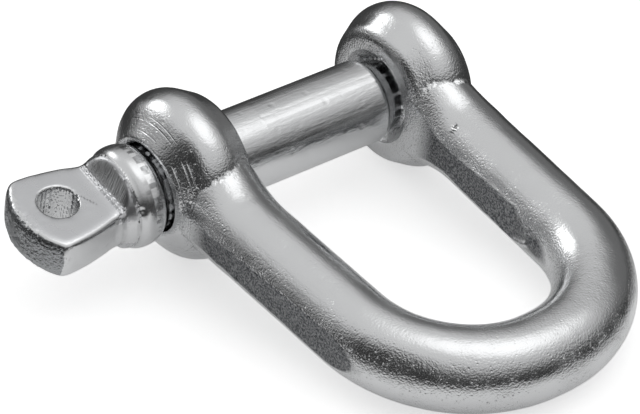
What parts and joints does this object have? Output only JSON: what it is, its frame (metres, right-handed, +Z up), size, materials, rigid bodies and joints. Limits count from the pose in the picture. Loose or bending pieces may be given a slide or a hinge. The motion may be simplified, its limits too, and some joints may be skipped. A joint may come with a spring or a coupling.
{
  "type": "screw pin d-shackle",
  "caption": "D-shackle: a forged bow with an eye at each end, closed by a collared screw pin whose flattened head has a hole for seizing wire.",
  "frame": {"origin": "on the pin's axis, midway between the inner faces of the two ears", "axes": "+X from the pin's head to its tip, -Y towards the bow, +Z up as the shackle lies on a flat surface"},
  "size_m": [0.0628, 0.0624, 0.0212],
  "materials": {
    "bow_steel": "bright zinc plate over forged steel, fine mottled grain",
    "pin_steel": "bright zinc plate over forged and turned steel"
  },
  "bodies": {
    "bow": {"bow": "bow_steel"},
    "pin": {"screw_pin": "pin_steel"}
  },
  "joints": [
    {"name": "pin_withdrawal", "type": "slide", "parent": "bow", "child": "pin", "axis": [-1, 0, 0], "range_m": [0, 0.048]}
  ]
}
